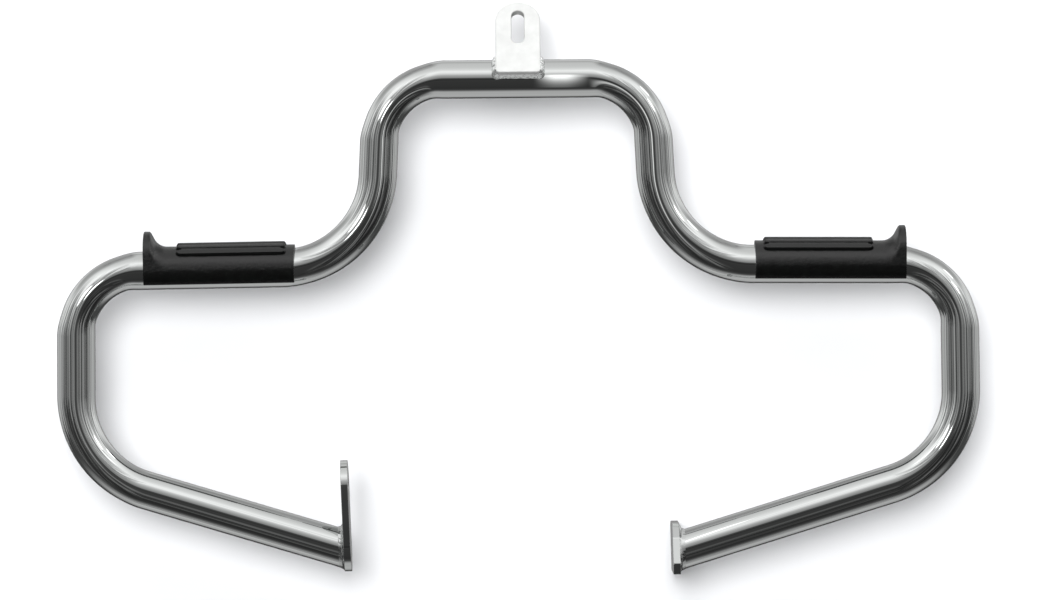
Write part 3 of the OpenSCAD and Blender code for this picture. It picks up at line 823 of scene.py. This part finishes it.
def pad_stations():
    """Rows of (place along the pad, rise of the toe lip, inset of the skin). The lip is
    an arc of radius LIP_HOLLOW, a slope that carries on from it and a flat tip, and both
    ends of the pad are rounded."""
    turn = np.radians([0, 22.5, 45, 67.5, 90])
    inner = np.column_stack([
        PAD_EDGE * (1 - np.cos(turn)), 0 * turn, PAD_EDGE * (1 - np.sin(turn)),
    ])
    # Close rows where the ribs' rounded ends are, wide ones between them
    body = np.concatenate([
        [END_FIELD], np.linspace(RIB_START - RIB_MARGIN, RIB_START + RIB_RUN, RIB_ROWS),
        np.linspace(*MIDDLE_ROWS),
        np.linspace(RIB_END - RIB_RUN, RIB_END + RIB_MARGIN, RIB_ROWS), [BEFORE_LIP],
    ])
    body = np.column_stack([body, 0 * body, 0 * body])
    slope_rise = LIP_H - LIP_HOLLOW * (1 - math.cos(LIP_SLOPE))
    slope_run = slope_rise / math.tan(LIP_SLOPE)
    foot = PAD_LEN - LIP_T - slope_run - LIP_HOLLOW * math.sin(LIP_SLOPE)
    arc = np.linspace(0, LIP_SLOPE, ARC_ROWS)
    hollow = np.column_stack([
        foot + LIP_HOLLOW * np.sin(arc), LIP_HOLLOW * (1 - np.cos(arc)), 0 * arc,
    ])
    part = np.linspace(0, 1, SLOPE_ROWS)[1:]
    # The last fifth of the slope runs over into the flat tip, by up to half a millimetre
    round_off = 0.5 * np.clip(part - 0.8, 0, 1) * 5
    tip = np.column_stack([
        PAD_LEN - LIP_T - slope_run * (1 - part) + round_off,
        LIP_H - slope_rise * (1 - part) - round_off * 0.2, 0 * part,
    ])
    outer = np.column_stack([
        PAD_LEN - LIP_EDGE * (1 - np.sin(turn)), LIP_H - LIP_EDGE * (1 - np.cos(turn)),
        PAD_EDGE * (1 - np.cos(turn)),
    ])
    return np.vstack([inner, body, hollow, tip, outer])


def pad_angles():
    """Angles around the skin from one skirt over the top to the other, close together
    where the ribs are, and the share of the toe lip's rise that each takes: none on the
    skirts, all above, and a wall between them where the angle stands still."""
    low = 180 - math.degrees(math.acos(PAD_SKIRT / PAD_R))
    side = np.linspace(90, low, SIDE_STEPS)[1:]
    lift = np.linspace(0, 1, LIFT_STEPS)
    upper = np.concatenate([
        np.linspace(-90, -RIB_FIELD, 10)[:-1], np.linspace(-RIB_FIELD, RIB_FIELD, TOP_STEPS),
        np.linspace(RIB_FIELD, 90, 10)[1:],
    ])
    wall = np.full(LIFT_STEPS, 90.0)
    a = np.concatenate([-side[::-1], -wall, upper[1:-1], wall, side])
    share = np.concatenate([0 * side, lift, np.ones(len(upper) - 2), lift[::-1], 0 * side])
    return np.radians(a)[None, :], share[None, :]


def rib_height(u, a):
    """Height of the ribs at u along and a around the pad. A rib is a strip with rounded
    tips: RIB_H (1 - (1 - e)^2), with e the distance in from its rim over RIB_EDGE, held
    to 0..1. The ribs stand in a bed that fills their grooves up to GROOVE_DEPTH."""
    rib_r = PAD_R + RIB_H
    half = rib_r * math.sin(math.radians(RIB_PITCH - RIB_GROOVE) / 2)
    tip = half * RIB_TIP
    from_middle = np.abs(u - (RIB_START + RIB_END) / 2)
    beyond = np.maximum(from_middle - (RIB_END - RIB_START) / 2 + tip, 0)
    ribs = np.zeros(np.broadcast(u, a).shape)
    for k in RIB_PLACES:
        gap = np.hypot(beyond * half / tip, (a - math.radians(k * RIB_PITCH)) * rib_r)
        e = np.clip((half - gap) / RIB_EDGE, 0, 1)
        ribs = np.maximum(ribs, RIB_H * (1 - (1 - e) ** 2))
    between = (np.abs(a) < math.radians(RIB_PLACES[-1] * RIB_PITCH)) & (beyond <= 0)
    return np.maximum(ribs, (RIB_H - GROOVE_DEPTH) * between)


def foot_pad(overrun):
    """Grid of the right pad in the bar's own frame. The skin is R (sin a, cos a), with R
    the pad's radius plus the ribs, and its upper half is lifted by the toe lip. The bore
    follows the bends at both ends of the shoulder: R - sqrt(R^2 - run^2)."""
    u, rise, inset = (c[:, None] for c in pad_stations().T)
    a, share = pad_angles()
    radius = PAD_R + rib_height(u, a) - inset
    y, z = radius * np.sin(a), radius * np.cos(a) + share * rise
    shoulder = HALF_ROUTE[2][0]
    inner, outer = np.clip(overrun - u, 0, None), np.clip(u - overrun - shoulder, 0, None)
    climb = WIDE_RADIUS - np.sqrt(WIDE_RADIUS ** 2 - inner ** 2)
    climb -= TIGHT_RADIUS - np.sqrt(TIGHT_RADIUS ** 2 - outer ** 2)
    bore_low = 180 - math.degrees(math.acos(PAD_SKIRT / PAD_BORE_R))
    b = np.radians(np.linspace(bore_low, -bore_low, BORE_STEPS))[None, :]
    bore_y, bore_z = PAD_BORE_R * np.sin(b) + 0 * u, PAD_BORE_R * np.cos(b) + climb
    y, z = np.hstack([y, bore_y]), np.maximum(np.hstack([z, bore_z]), -PAD_SKIRT)
    hollow_end = END_HOLLOW * (1 - (z / PAD_R) ** 2) * np.clip(1 - u / END_FIELD, 0, 1)
    along = u + hollow_end - overrun
    x0, z0, heading = LEG_PLACES[2]
    h = math.radians(heading)
    return np.stack([
        x0 + along * math.cos(h) + z * math.sin(h), y,
        z0 - along * math.sin(h) + z * math.cos(h),
    ], axis=-1)


# Rubber is near black with a dull bloom in clouds, so its highlights come and go, and a
# pebbled mould grain breaks them up
rubber, tree, shader = new_material("moulded_black_rubber", {"Specular IOR Level": 0.62})
at = add_node(tree, "ShaderNodeTexCoord").outputs["Object"]
bloom = noise(tree, at, scale=160.0, detail=5.0, roughness=0.65)
tint(tree, shader, bloom, [(0.35, "#030303"), (0.7, "#060807")])
rough = spread(tree, bloom, 0.3, 0.7, start=0.12, end=0.27)
tree.links.new(rough, shader.inputs["Roughness"])
grain = noise(tree, at, scale=420.0, detail=4.0, roughness=0.65)
add_bump(tree, shader, grain, strength=0.8, distance=0.00035)
for name, node, overrun, flip in (
    ("left_rubber_pad", "left_foot_pad", LEFT_OVERRUN, MIRROR),
    ("right_rubber_pad", "right_foot_pad", RIGHT_OVERRUN, 1),
):
    pad = make_piece(name, foot_pad(overrun) * flip - SLOT_AT, caps=True)
    finish_edges(pad, 50)
    pad.data.materials.append(rubber)
    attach(pad, "root")
    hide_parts(node)
